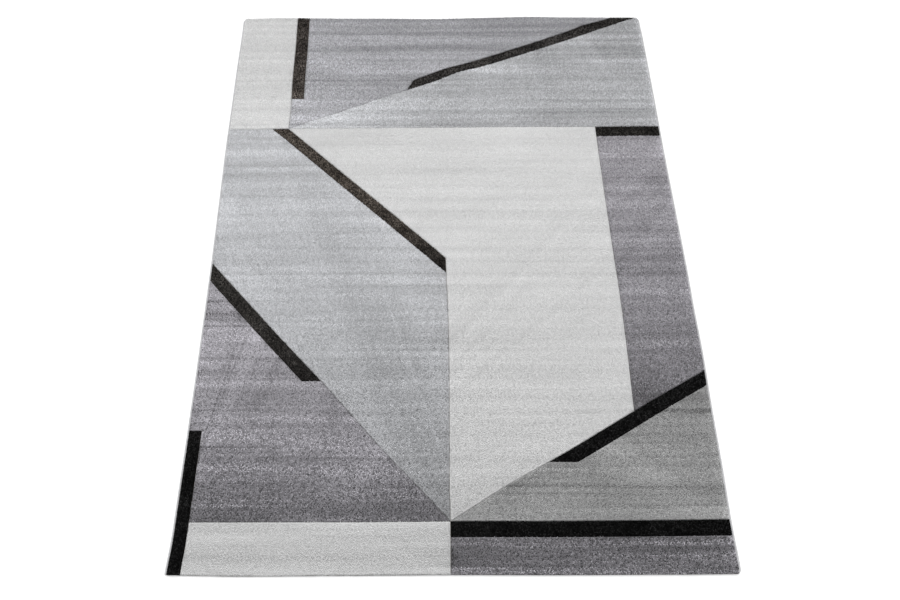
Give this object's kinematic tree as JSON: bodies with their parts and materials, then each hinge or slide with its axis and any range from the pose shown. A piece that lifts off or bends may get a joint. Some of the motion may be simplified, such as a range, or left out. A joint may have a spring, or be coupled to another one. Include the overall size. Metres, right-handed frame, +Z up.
{
  "type": "area rug",
  "caption": "Flat rectangular area rug of cut pile, with carved grey, cream and black fields on a woven ground and overcast long sides.",
  "frame": {"origin": "middle of the underside, on the floor", "axes": "+X across the rug's width, +Y along its length, +Z up through the pile"},
  "size_m": [1.6, 2.3, 0.012],
  "materials": {
    "cream_pile": "matte cut-pile yarn",
    "light_grey_pile": "matte cut-pile yarn",
    "silver_grey_pile": "matte cut-pile yarn, melange",
    "mid_grey_pile": "matte cut-pile yarn, melange",
    "dark_grey_pile": "matte cut-pile yarn, melange",
    "black_pile": "matte cut-pile yarn",
    "ground_cloth": "plain woven cloth",
    "back_size": "dry latex size on the weave",
    "binding_yarn": "overcast yarn",
    "selvedge_cord": "twisted cord",
    "hem_tape": "woven tape"
  },
  "bodies": {
    "root": {"ground_weave": "ground_cloth", "back_coat": "back_size", "end_tape_near": "hem_tape", "end_tape_far": "hem_tape", "selvedge_cord_left": "selvedge_cord", "selvedge_cord_right": "selvedge_cord", "side_binding_left": "binding_yarn", "side_binding_right": "binding_yarn", "pile_cream_far_left": "cream_pile", "pile_cream_centre": "cream_pile", "pile_cream_near_left": "cream_pile", "pile_light_left": "light_grey_pile", "pile_grey_wedge": "silver_grey_pile", "pile_grey_near_right": "mid_grey_pile", "pile_grey_far": "mid_grey_pile", "pile_grey_right": "mid_grey_pile", "pile_dark_left": "dark_grey_pile", "pile_dark_near_right": "dark_grey_pile", "pile_bar_far_left": "black_pile", "pile_bar_far_rising": "black_pile", "pile_bar_upper_right": "black_pile", "pile_bar_falling": "black_pile", "pile_bar_left_slanted": "black_pile", "pile_bar_near_left": "black_pile", "pile_bar_near_right": "black_pile", "pile_bar_right_slanted": "black_pile"}
  },
  "joints": []
}
